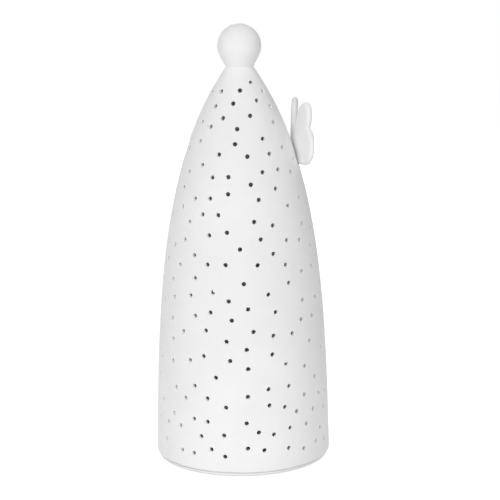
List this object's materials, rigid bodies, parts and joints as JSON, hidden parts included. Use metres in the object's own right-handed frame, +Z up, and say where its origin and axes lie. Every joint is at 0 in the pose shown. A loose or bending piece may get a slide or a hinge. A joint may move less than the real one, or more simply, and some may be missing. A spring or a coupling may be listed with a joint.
{
  "type": "ceramic angel figurine",
  "caption": "Matt white pierced ceramic angel with a plain ball head and small wings on its back, a lift-off shade over a battery light on a thin round base.",
  "frame": {"origin": "on the floor under the middle of the base", "axes": "+Z up; the angel faces -Y, with its wings on the back at +Y"},
  "size_m": [0.099, 0.099, 0.2446],
  "materials": {
    "bisque": "matt, unglazed",
    "white_plastic": "fine matt",
    "silicone": "soft matt",
    "dark_plastic": "fine matt",
    "steel": "zinc plated",
    "nickel_plate": "nickel plated",
    "cell_sleeve": "plain sleeve over a steel can",
    "circuit_board": "white solder mask",
    "clear_epoxy": "clear, warm",
    "resistor_body": "lacquered",
    "opal_plastic": "milky, translucent",
    "red_pvc": "smooth",
    "black_pvc": "smooth"
  },
  "bodies": {
    "base": {"base_plate": "white_plastic", "battery_tray": "white_plastic", "foot_pad_1": "silicone", "foot_pad_2": "silicone", "foot_pad_3": "silicone", "foot_pad_4": "silicone", "grip_pad_1": "silicone", "grip_pad_2": "silicone", "grip_pad_3": "silicone", "switch_body": "dark_plastic", "tray_screw_1": "steel", "tray_screw_2": "steel", "tray_screw_3": "steel", "tray_screw_4": "steel", "board_screw_1": "steel", "board_screw_2": "steel", "switch_screw_1": "steel", "switch_screw_2": "steel", "contact_spring_1": "steel", "contact_spring_2": "steel", "contact_spring_3": "steel", "contact_positive": "nickel_plate", "contact_negative": "nickel_plate", "contact_bridge_1": "nickel_plate", "contact_bridge_2": "nickel_plate", "battery_1": "cell_sleeve", "battery_2": "cell_sleeve", "battery_3": "cell_sleeve", "led_board": "circuit_board", "led_1": "clear_epoxy", "led_2": "clear_epoxy", "led_3": "clear_epoxy", "resistor_1": "resistor_body", "resistor_2": "resistor_body", "resistor_3": "resistor_body", "diffuser_dome": "opal_plastic", "wire_battery_switch": "red_pvc", "wire_switch_board": "red_pvc", "wire_battery_board": "black_pvc"},
    "figure": {"robe_shell": "bisque", "head": "bisque", "wing_left": "bisque", "wing_right": "bisque"},
    "door": {"battery_door": "white_plastic"},
    "knob": {"switch_knob": "dark_plastic"}
  },
  "joints": [
    {"name": "shell_lift", "type": "slide", "parent": "base", "child": "figure", "axis": [0, 0, 1], "range_m": [0, 0.06]},
    {"name": "door_hinge", "type": "hinge", "parent": "base", "child": "door", "pos_m": [0, -0.01635, 0.0019], "axis": [-1, 0, 0], "range_deg": [0, 85]},
    {"name": "switch_slide", "type": "slide", "parent": "base", "child": "knob", "axis": [1, 0, 0], "range_m": [0, 0.004]}
  ]
}
